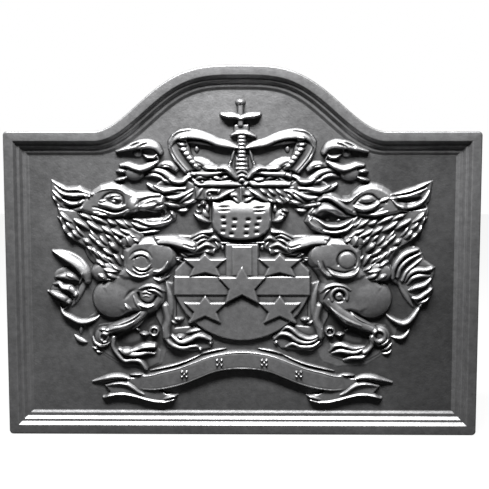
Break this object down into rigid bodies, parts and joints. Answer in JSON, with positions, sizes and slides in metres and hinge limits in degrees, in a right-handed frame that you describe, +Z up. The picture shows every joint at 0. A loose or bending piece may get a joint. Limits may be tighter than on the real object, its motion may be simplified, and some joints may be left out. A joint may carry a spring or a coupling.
{
  "type": "fireback",
  "caption": "Cast-iron fireback: an arched plate with a stepped rim and a raised coat of arms, which stands behind a fire and throws its heat into the room.",
  "frame": {"origin": "middle of the bottom edge, on the plane of the flat back", "axes": "+Z up, +X to the right as seen from the front, and +Y out of the flat back, so the relief faces -Y"},
  "size_m": [0.6, 0.0233, 0.47],
  "materials": {
    "plate_iron": "grey iron with a fine sand-cast skin, dull graphite sheen",
    "rim_iron": "grey iron, edges rubbed a little brighter",
    "relief_iron": "grey iron, raised parts rubbed brighter, darker in the hollows"
  },
  "bodies": {
    "root": {"back_plate": "plate_iron", "rim_top": "rim_iron", "rim_bottom": "rim_iron", "rim_left": "rim_iron", "rim_right": "rim_iron", "shield": "relief_iron", "shield_band": "relief_iron", "shield_pale": "relief_iron", "centre_star": "relief_iron", "outer_stars": "relief_iron", "helmet": "relief_iron", "helmet_collar": "relief_iron", "helmet_leaves": "relief_iron", "drapery": "relief_iron", "crown_circlet": "relief_iron", "crown_arch_left": "relief_iron", "crown_arch_right": "relief_iron", "crown_arch_centre": "relief_iron", "crown_cross": "relief_iron", "mantling_left": "relief_iron", "mantling_right": "relief_iron", "mantling_scroll_left": "relief_iron", "mantling_scroll_right": "relief_iron", "lion_left_head": "relief_iron", "lion_left_mane": "relief_iron", "lion_left_body": "relief_iron", "lion_left_foreleg": "relief_iron", "lion_left_hind_leg": "relief_iron", "lion_left_far_leg": "relief_iron", "lion_left_tail": "relief_iron", "lion_left_tassel": "relief_iron", "lion_right_head": "relief_iron", "lion_right_mane": "relief_iron", "lion_right_body": "relief_iron", "lion_right_foreleg": "relief_iron", "lion_right_hind_leg": "relief_iron", "lion_right_far_leg": "relief_iron", "lion_right_tail": "relief_iron", "lion_right_tassel": "relief_iron", "ribbon_centre": "relief_iron", "ribbon_tail_left": "relief_iron", "ribbon_tail_right": "relief_iron", "ribbon_roses": "relief_iron"}
  },
  "joints": []
}
